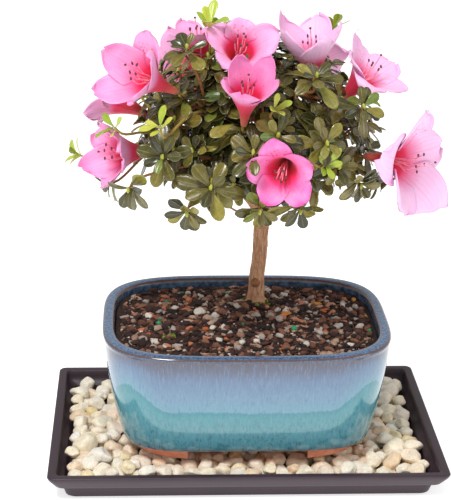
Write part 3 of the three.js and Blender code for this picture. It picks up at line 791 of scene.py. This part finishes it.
# Open flowers: throat, facing, radius over the lobes, turn in degrees, how pale the lobes are,
# and how far they stand up (above 0) or fall back.
FLOWERS = [
    ((-68, -36, 285), (-0.72, -0.52, 0.46), 31, 20, 0.35, 0.3),
    ((-36, 14, 296), (-0.15, 0.1, 0.98), 24, 50, 0.45, 0.2),
    ((-9, -17, 299), (0.05, -0.7, 0.71), 26, 10, 0.45, 0.15),
    ((-6, -53, 277), (0.02, -0.5, 0.87), 25, 40, 0.2, 0.45),
    ((-84, -21, 231), (-0.84, -0.5, 0.1), 29, 5, 0.35, 0.35),
    ((18, -68, 234), (-0.24, -0.96, -0.12), 24, 30, 0, 0.1),
    ((43, 8, 288), (-0.18, -0.2, 0.96), 30, 15, 0.9, 0.42),
    ((76, 4, 275), (0.6, -0.25, 0.76), 29, 60, 0.8, 0.15),
    ((97, -33, 229), (0.78, -0.62, 0.05), 38, 12, 0.9, -0.02),
    ((48, 82, 268), (0.35, 0.82, 0.45), 27, 25, 0.5, 0.1),
    ((-42, 80, 262), (-0.4, 0.84, 0.36), 27, 70, 0.5, 0.2),
    ((8, 98, 222), (0.05, 0.99, -0.1), 25, 8, 0.4, 0),
    ((-88, 44, 248), (-0.88, 0.35, 0.32), 25, 35, 0.5, 0.15),
]
TUBE = 24.0  # from the foot of a flower's tube to its throat


def crown_point(direction, share):
    """A point in the crown: share is 0 in its middle and 1 on its outside."""
    height = CROWN_UP if direction[2] > 0 else CROWN_DOWN
    return CROWN + share * np.array([*CROWN_HALF, height]) * direction


def in_flower(point, margin):
    """Whether a point is in the funnel of an open flower or within margin of it."""
    for throat, facing, radius, *_ in FLOWERS:
        axis = unit(facing)
        away = np.asarray(point) - throat
        h = away.dot(axis)
        r = math.sqrt(max(away.dot(away) - h * h, 0))
        if h < -TUBE - margin or h > 0.6 * radius + margin:
            continue
        wall = 9 + (5.6 * h / TUBE if h < 0 else (radius - 9) * min(1, h / (0.36 * radius)))
        if r < wall + margin:
            return True
    return False


GOLDEN = PI * (3 - math.sqrt(5))  # the turn that spreads points evenly over a ball


def on_ball(turn, z):
    """The point of a unit ball at a height and a turn round it."""
    flat = math.sqrt(max(0, 1 - z * z))
    return np.array([flat * math.cos(turn), flat * math.sin(turn), z])


# the wood forks above the bare trunk, and again at each knot; every spray of leaves grows from a hub
SPRAYS = 16
HUBS = [crown_point(on_ball(k * GOLDEN + 0.6, 0.93 - 1.62 * k / (SPRAYS - 1)), 0.66) for k in range(SPRAYS)]
FORK = np.array([ROOT[0] + 3, ROOT[1], 172.0])
LEADER = np.array([ROOT[0] + 1, 26.0, 216.0])
KNOTS = []
for j in range(6):
    turn = math.radians(j * 60 + 25)
    KNOTS.append(np.array([9 + 30 * math.cos(turn), 24 + 27 * math.sin(turn), 203 + 6 * (j % 2)]))


def shoot_places():
    """Where the leafy shoots end, which way they face and how large and how fresh they are."""
    front = [
        ((-29, -70, 222), (-0.1, -0.85, 0.4), 1.3, 0), ((-2, -72, 246), (0.0, -0.7, 0.7), 1.05, 0),
        ((-82, -46, 214), (-0.4, -0.6, -0.3), 1.15, 0), ((30, -66, 206), (0.1, -0.6, -0.4), 1.1, 0),
        ((72, -44, 216), (0.3, -0.6, -0.3), 1.05, 0), ((40, -46, 290), (0.1, -0.5, 0.85), 1.05, 0),
        ((72, -40, 268), (0.3, -0.7, 0.5), 1.05, 0), ((-44, -36, 306), (-0.2, -0.5, 0.8), 1.0, 0),
        ((-60, -60, 240), (-0.3, -0.9, 0.3), 1.1, 0), ((46, -62, 250), (0.3, -0.9, 0.3), 1.0, 0),
        ((14, -66, 256), (0.1, -0.85, 0.5), 0.9, 0), ((-44, -66, 204), (-0.2, -0.8, -0.3), 1.05, 0),
        ((4, -62, 204), (0.0, -0.8, -0.4), 1.0, 0), ((56, -54, 232), (0.3, -0.9, 0.1), 1.0, 0),
        ((-96, -12, 206), (-0.8, -0.3, -0.3), 1.0, 0), ((92, -4, 206), (0.6, -0.2, -0.4), 1.0, 0),
    ]
    fresh = [
        ((-28, -14, 317), (0, -0.3, 1), 1.0, 1), ((-62, -66, 262), (-0.3, -0.5, 0.8), 0.75, 0.9),
        ((-92, -40, 254), (-0.7, -0.4, 0.6), 0.9, 1), ((12, -58, 272), (0.2, -0.6, 0.7), 0.75, 0.9),
        ((46, -64, 236), (0.4, -0.8, 0.4), 0.85, 0.9), ((4, -40, 292), (0, -0.6, 0.8), 0.7, 0.9),
        ((-118, -2, 224), (-0.95, 0, 0.3), 0.7, 1), ((-86, 10, 276), (-0.6, 0, 0.8), 0.8, 1),
        ((60, 40, 304), (0.3, 0.4, 0.9), 0.8, 1), ((-20, 62, 296), (-0.1, 0.6, 0.8), 0.8, 1),
        ((88, 52, 250), (0.8, 0.5, 0.3), 0.75, 1), ((-60, 74, 226), (-0.5, 0.8, 0.1), 0.75, 1),
    ]
    shoots = [(np.array(place, float), unit(facing), size, new) for place, facing, size, new in front + fresh]
    total = 150
    for k in range(total):
        # the rest spread over the crown, every third one deeper in it
        share = 0.95 - 0.1 * chance(k, 1) - (0.26 if k % 3 == 2 else 0)
        shift = np.array([chance(k, n) - 0.5 for n in (2, 3, 4)]) * 9
        place = crown_point(on_ball(k * GOLDEN, 1 - 1.86 * (k + 0.5) / total), share) + shift
        if in_flower(place, 5 if k % 3 else 2):
            continue
        if any(np.linalg.norm(place - other[0]) < 14.5 for other in shoots):
            continue
        outward = unit(place - (CROWN - [0, 0, 26]))
        facing = unit(outward + np.array([0, 0, 0.25]))
        shoots.append((place, facing, 0.85 + 0.3 * chance(k, 6), 0))
    return shoots


SHOOTS = shoot_places()


def make_tree():
    patch = Patch()
    foot = np.array([*ROOT, 0])
    trunk = [(-0.6, 0, 84), (-0.2, 0, 97), (0, 0, 106), (0.4, 0, 120)]
    trunk += [(1.7, 0.4, 134), (2.4, 0, 150), (3, 0, 172)]
    limb(patch, foot + trunk, [8.4, 7.6, 6.2, 5.5, 5.3, 5.2, 5.6], 90, 30, 0.55, 1.0, young=0.0)
    for r in range(6):
        # surface roots run out and down into the soil
        a = math.radians(r * 60 + 14)
        reach = ((1.5, 105), (6, 99.8), (10, 96.5), (16, 91))
        points = [(ROOT[0] + d * math.cos(a), ROOT[1] + d * math.sin(a), z) for d, z in reach]
        limb(patch, points, [3.2, 3.0, 2.2, 1.3], 22, 12, 0.4, r + 2.0, young=0.0)
    # a healed pruning scar on the front of the trunk
    scar = foot + [(-0.6, -3.2, 116.5), (-1.2, -6.8, 117.8), (-1.4, -8.4, 118.4)]
    limb(patch, scar, [3.9, 3.3, 1.9], 10, 16, 0.4, 9.0, young=0.7)
    leader = [FORK - [0, 0, 5], (FORK[0], 29, 194), LEADER]
    limb(patch, leader, [5.0, 4.2, 3.2], 24, 16, 0.4, 3.0, young=0.0)
    for n, knot in enumerate(KNOTS):
        start = FORK + [0, 0, 3 * (n % 3) - 4]
        middle = start + (knot - start) * 0.55 + [0, 0, 3 - 5 * chance(n, 8)]
        limb(patch, [start, middle, knot], [3.9, 3.2, 2.6], 18, 12, 0.35, n + 12.0, young=0.15)
    nodes = KNOTS + [LEADER]
    for k, hub in enumerate(HUBS):
        knot = min(nodes, key=lambda p: np.linalg.norm(p - hub))
        middle = (knot + hub) / 2 + [4 * chance(k, 1) - 2, 4 * chance(k, 2) - 2, 3 - 4 * chance(k, 3)]
        limb(patch, [knot, middle, hub], [2.5, 2.0, 1.5], 14, 9, 0.25, k + 20.0, young=0.4)
    for n, (place, facing, size, fresh) in enumerate(SHOOTS):
        hub = min(HUBS, key=lambda p: np.linalg.norm(p - place) + (8 if p[2] > place[2] + 15 else 0))
        # the shoot leaves its hub sideways and bends up to the way it faces
        bend = place - facing * (9 + 5 * chance(n, 3))
        middle = hub + (bend - hub) * 0.5 + [5 * chance(n, 5) - 2.5, 5 * chance(n, 6) - 2.5, 3 * chance(n, 7)]
        radii = [1.25, 0.95, 0.85, 0.6 if fresh else 0.75]
        limb(patch, [hub, middle, bend, place], radii, 12, 7, 0.12, n + 50.0, young=0.85 + 0.15 * fresh)
    for n, (throat, facing, *_) in enumerate(FLOWERS):
        foot = np.array(throat) - unit(facing) * (TUBE + 6)
        hub = HUBS[nearest_hub(foot)]
        middle = (hub + foot) / 2 + [0, 0, 2]
        stalk = [hub, middle, foot, foot + unit(facing) * 7.5]
        limb(patch, stalk, [1.2, 0.9, 0.9, 1.1], 12, 7, 0.1, n + 200.0, young=0.95)
    # short bare twigs in the open under the crown
    bare = [((9, 30, 168), (-13, 22, 178)), ((14, 30, 176), (30, 20, 186)), ((10, 32, 176), (2, 8, 190))]
    for n, (a, b) in enumerate(np.array(bare, float)):
        limb(patch, [a, (a + b) / 2 + [0, 0, -2], b], [1.5, 0.9, 0.5], 10, 8, 0.15, n + 300.0, young=0.5)
    finished(patch.build("tree_look", bark_material()), "bark", "trunk_and_branches")


# ------------------------------------------------------------------ leaves
def leaf(patch, base, direction, face, length, width, seed, fresh):
    """One leaf: narrow at the stalk, widest past its middle, folded up along the midrib and curling back."""
    rows, columns = 11, 7
    t = 1 - (1 - np.linspace(0, 1, rows)[:, None]) ** 1.25
    v = np.linspace(-1, 1, columns)[None]
    # a narrow stalk, the widest place at two thirds and a round tip
    swell = np.clip(t / 0.66, 0, 1) ** 1.15
    close = np.sqrt(np.clip(1 - (np.clip(t - 0.66, 0, 1) / 0.345) ** 2.2, 0, 1))
    w = width / 2 * (swell * close + 0.09 * (1 - t)) * v
    droop = (0.10 + 0.55 * chance(seed, 11)) * length * t**2 * 0.55
    fold = 0.22 + 0.28 * chance(seed, 12)
    wave = 0.35 * chance(seed, 13) * np.sin(7 * t + 2 * v + seed)
    lift = fold * abs(w) - 0.05 * w**2 + wave * abs(v) - droop
    points = base + direction * length * t[..., None]
    points = points + np.cross(face, direction) * w[..., None] * 0.97 + face * lift[..., None]
    looks = dict(along=np.repeat(t, columns), across=np.tile(v[0], rows), tint=chance(seed, 14), fresh=fresh)
    patch.add(points, grid_faces(rows, columns), **looks)


def nearest_hub(place):
    """The number of the spray whose hub is nearest."""
    return min(range(SPRAYS), key=lambda k: np.linalg.norm(HUBS[k] - place))


def thin_piece(patch, name, material, thickness):
    """A piece of sheets that are given a thickness in mm."""
    piece = patch.build(name + "_look", material)
    thick = piece.modifiers.new("thickness", "SOLIDIFY")
    thick.thickness = thickness * MM
    thick.offset = 0
    return piece


def make_leaves():
    patches = [Patch() for _ in range(SPRAYS)]
    for n, (place, facing, size, fresh) in enumerate(SHOOTS):
        spray = patches[nearest_hub(place)]
        side, up = square_to(facing)
        leaves = 6 if fresh else 9 + int(4 * chance(n, 20))
        for m in range(leaves):
            seed = n * 17 + m
            inner = m / (leaves - 1)  # 0 for the outermost leaf of the whorl, 1 for the innermost
            angle = m * GOLDEN + n + 0.5 * chance(seed, 1)
            # the outer leaves of an old whorl spread flat and hang a little; young ones stand up
            lean = 0.02 + 0.95 * inner**1.6 + 0.22 * chance(seed, 2)
            if fresh:
                lean = 0.9 + 0.5 * chance(seed, 2)
            out = side * math.cos(angle) + up * math.sin(angle)
            direction = unit(out + facing * lean)
            if not fresh:
                direction = unit(direction - [0, 0, 0.22 * (1 - inner)])
            face = unit(facing - direction * facing.dot(direction))
            face = unit(face + np.cross(direction, face) * 0.5 * (chance(seed, 3) - 0.5))
            length = (15.5 + 5 * chance(seed, 4)) * size * (1 - 0.4 * inner)
            if fresh:
                length = (13 + 5 * chance(seed, 4)) * size
            width = length * 0.46 * (1 + 0.2 * chance(seed, 5)) * (0.85 if fresh else 1)
            base = place - facing * (4.5 * (1 - inner)) + direction * 0.8
            tip = base + direction * length
            if in_flower(base + direction * length * 0.6, -1.0) or in_flower(tip, -2.0):
                continue
            leaf(spray, base, direction, face, length, width, seed, fresh)
        if not fresh:
            # the bud in the middle of the whorl
            bud = np.array([1.2, 1.2, 2.4])
            look = dict(tint=0.8, along=0.5, across=0.5, fresh=0.5)
            stone(spray, place + facing * 2, bud, n + 40000, 1, 0.1, **look)
    # single leaves along the twigs fill the inside of the crown
    for n in range(640):
        d = unit([chance(n, 31) - 0.5, chance(n, 32) - 0.5, chance(n, 33) - 0.42])
        place = crown_point(d, 0.45 + 0.42 * chance(n, 34))
        if in_flower(place, 1.0):
            continue
        outward = unit(place - (CROWN - [0, 0, 40]))
        side, up = square_to(outward)
        a = 2 * PI * chance(n, 35)
        direction = unit(side * math.cos(a) + up * math.sin(a) + outward * 0.4)
        face = unit(outward - direction * outward.dot(direction))
        if in_flower(place + direction * 14, -1.0):
            continue
        length = 13 + 6 * chance(n, 36)
        spray = patches[nearest_hub(place)]
        leaf(spray, place, direction, face, length, length * 0.5, n + 70000, 0)
    material = leaf_material()
    for k, patch in enumerate(patches, 1):
        name = f"leaf_spray_{k:02d}"
        finished(thin_piece(patch, name, material, 0.28), "leaves", name)


# ------------------------------------------------------------------ flowers
def flower(patch, spec, seed):
    """Five overlapping lobes that fuse into a tube at their base."""
    throat, facing, radius, turn, pale, cup = spec
    throat, axis = np.array(throat, float), unit(facing)
    first, second = square_to(axis)
    # profile from the foot of the tube to the tip of a lobe: distance from the axis, height over the throat
    stops = np.array([0, 0.14, 0.3, 0.42, 0.55, 0.7, 0.85, 1.0])
    reach = np.array([2.0, 3.2, 6.0, 9.2, *radius * np.array([0.47, 0.70, 0.89, 1.0])])
    height = np.array([-TUBE, -0.6 * TUBE, -0.22 * TUBE, 1.5, *radius * np.array([0.24, 0.38, 0.43, 0.38])])
    rows, columns = 26, 19
    u, v = np.linspace(0, 1, rows), np.linspace(-1, 1, columns)
    r, h = np.interp(u, stops, reach), np.interp(u, stops, height)
    # soften the corners of the profile
    for _ in range(2):
        r[1:-1], h[1:-1] = (r[:-2] + 2 * r[1:-1] + r[2:]) / 4, (h[:-2] + 2 * h[1:-1] + h[2:]) / 4
    # half width of a lobe in mm: the tube's share below, a rounded lobe above
    spread = np.clip((u - 0.42) / 0.58, 0, None)
    rounded = radius * 0.53 * (1 - np.clip((spread - 0.1) / 0.9, 0, 1) ** 3.2) ** 0.55
    blend = np.clip(spread / 0.3, 0, 1)
    half = r * math.radians(37.5) * (1 - blend) + np.minimum(rounded, r * math.radians(58)) * blend
    half[-1] = 0.12 * radius
    u, r, h, spread, w = u[:, None], r[:, None], h[:, None], spread[:, None], half[:, None] * v
    for lobe in range(5):
        centre = math.radians(turn) + lobe * 2 * PI / 5 + 0.2 * (chance(seed, lobe + 40) - 0.5)
        # the lobe nearest to the top of the flower carries the blotch
        blotch = max(0.0, first[2] * math.cos(centre) + second[2] * math.sin(centre)) ** 2
        # how long this lobe is, how far it bends back or up, and how far it leans to one side
        grow = 0.88 + 0.24 * chance(seed, lobe + 3)
        back = (chance(seed, lobe + 9) - 0.5) * 0.5 - cup
        bow = 0.25 * (chance(seed, lobe + 27) - 0.5)
        phase = 6 * chance(seed, lobe + 15)
        big = 0.085 * radius * np.sin(5.2 * v + phase + 3 * u) * abs(v) ** 1.3
        fine = 0.035 * radius * np.sin(11 * v - phase) * v**2
        ruffle = spread**1.5 * (big + fine)
        dish = -0.12 * w**2 / radius * spread
        curl = -back * radius * spread**1.8 + (0.03 + bow) * radius * spread * v
        rise = h + dish + ruffle + curl + 0.25 * (lobe % 2)
        away = r * (1 - 0.06 * spread * v**2) * (1 + (grow - 1 - 0.5 * abs(cup)) * spread)
        a = (centre + w / r)[..., None]
        out = first * np.cos(a) + second * np.sin(a)
        points = throat + out * away[..., None] + axis * rise[..., None]
        shades = blotch * np.exp(-((u - 0.62) ** 2) / 0.012) * (1 - 0.5 * abs(v))
        along, across = np.repeat(u, columns), np.tile(v, rows)
        looks = dict(along=along, across=across, tint=pale, blotch=shades.reshape(-1))
        patch.add(points, grid_faces(rows, columns), **looks)


def stamens(patch, spec, seed):
    """Five stamens and a longer pistil, threads with a small head each."""
    throat, facing, radius, turn, *_ = spec
    throat, axis = np.array(throat, float), unit(facing)
    first, second = square_to(axis)
    sag = np.array([0, 0, -0.10 * radius])
    for n in range(6):
        pistil = n == 5
        a = math.radians(turn) + n * 2 * PI / 5 + 0.6
        out = first * math.cos(a) + second * math.sin(a)
        reach = (0.78 if pistil else 0.44 + 0.12 * chance(seed, n)) * radius
        spread = (0.05 if pistil else 0.17) * radius
        points = [
            throat - axis * 0.55 * TUBE + out * 0.8,
            throat + out * (0.4 if pistil else 2.4) + axis * 0.05 * radius,
            throat + out * spread * 0.8 + axis * reach * 0.6 + sag * 0.5,
            throat + out * spread + axis * reach - sag * 0.4,
        ]
        path = limb(patch, points, [0.5, 0.45, 0.4, 0.35], 14, 6, tip=0.0)
        size = (0.9, 0.9, 0.8) if pistil else (0.75, 0.75, 1.35)
        stone(patch, path[-1], np.array(size), seed * 10 + n, 1, 0.1, tip=1.0)


def make_flowers():
    petal, thread = petal_material(), stamen_material()
    for n, spec in enumerate(FLOWERS, 1):
        lobes, threads = Patch(), Patch()
        flower(lobes, spec, n)
        finished(thin_piece(lobes, f"corolla_{n:02d}", petal, 0.3), "petals", f"corolla_{n:02d}")
        stamens(threads, spec, n)
        finished(threads.build(f"stamens_{n:02d}_look", thread), "stamens", f"stamens_{n:02d}")


# ------------------------------------------------------------------ stage, light and camera
def make_stage():
    floor_mesh = bpy.data.meshes.new("floor")
    far = 6.0
    corners = [(-far, -far, 0), (far, -far, 0), (far, far, 0), (-far, far, 0)]
    floor_mesh.from_pydata(corners, [], [(0, 1, 2, 3)])
    s = Shader("backdrop")
    s.set(Base_Color=(0.9, 0.9, 0.9, 1), Roughness=1.0, Specular_IOR_Level=0.0)
    s.set(Emission_Color=(1, 1, 1, 1), Emission_Strength=0.6)
    floor_mesh.materials.append(s.material)
    floor = in_scene("floor", floor_mesh)
    world = bpy.data.worlds.new("studio")
    world.use_nodes = True
    tree = world.node_tree
    white = tree.nodes["Background"]
    white.inputs["Strength"].default_value = 1.0
    # the backdrop is seen at full white, and lights the object less
    dim = tree.nodes.new("ShaderNodeBackground")
    dim.inputs["Color"].default_value = (1.0, 0.985, 0.965, 1)
    dim.inputs["Strength"].default_value = 0.58
    white.inputs["Color"].default_value = (1, 1, 1, 1)
    path, choose = tree.nodes.new("ShaderNodeLightPath"), tree.nodes.new("ShaderNodeMixShader")
    tree.links.new(path.outputs["Is Camera Ray"], choose.inputs[0])
    tree.links.new(dim.outputs[0], choose.inputs[1])
    tree.links.new(white.outputs[0], choose.inputs[2])
    tree.links.new(choose.outputs[0], tree.nodes["World Output"].inputs["Surface"])
    bpy.context.scene.world = world

    # name, place, side length and power of each lamp; both aim at the foot of the crown
    lamps = [("key", (-0.45, -0.7, 1.3), 0.28, 13), ("fill", (1.0, -0.5, 0.7), 0.5, 2)]
    for name, place, size, power in lamps:
        light = bpy.data.lights.new(name, "AREA")
        light.shape, light.size, light.energy = "SQUARE", size, power
        light.spread = 3.14
        lamp = in_scene(name, light)
        lamp.location = place
        lamp.rotation_euler = (Vector((0, 0, 0.2)) - lamp.location).to_track_quat("-Z", "Y").to_euler()
    scene = bpy.context.scene
    scene.view_settings.view_transform = "Standard"
    scene.view_settings.look = "None"


def make_camera():
    """The view of the front: a long lens, a little left of the middle and well above the pot."""
    data = bpy.data.cameras.new("camera")
    data.lens, data.sensor_width = 113.37, 36.0
    data.clip_start, data.clip_end = 0.05, 30
    camera = in_scene("camera", data)
    yaw, pitch, roll = (math.radians(v) for v in (3.104, 20.449, -1.005))
    ahead = Vector((math.sin(yaw) * math.cos(pitch), math.cos(yaw) * math.cos(pitch), -math.sin(pitch)))
    right = Vector((math.cos(yaw), -math.sin(yaw), 0))
    down = ahead.cross(right)
    tilted_right = right * math.cos(roll) + down * math.sin(roll)
    tilted_down = down * math.cos(roll) - right * math.sin(roll)
    turn = Matrix((tilted_right, -tilted_down, -ahead)).transposed()
    camera.matrix_world = Matrix.Translation((-0.0715, -1.0428, 0.5421)) @ turn.to_4x4()
    bpy.context.scene.camera = camera


def make_screens():
    """Fine plastic mesh over the two drain holes: crossed strands pressed together."""
    material = screen_material()
    for side, name in ((-38, "drain_screen_left"), (38, "drain_screen_right")):
        patch = Patch()
        for d in np.linspace(-10.4, 10.4, 12):
            limb(patch, [(side + d, y, 34.9) for y in (-11, 0, 11)], [0.35, 0.35], 4, 6)
            limb(patch, [(side + x, d, 35.2) for x in (-11, 0, 11)], [0.35, 0.35], 4, 6)
        finished(patch.build(name + "_look", material), "screen_plastic", name)


make_tray()
make_pebbles()
make_pot()
make_screens()
make_soil()
make_grains()
make_tree()
make_leaves()
make_flowers()
make_stage()
make_camera()
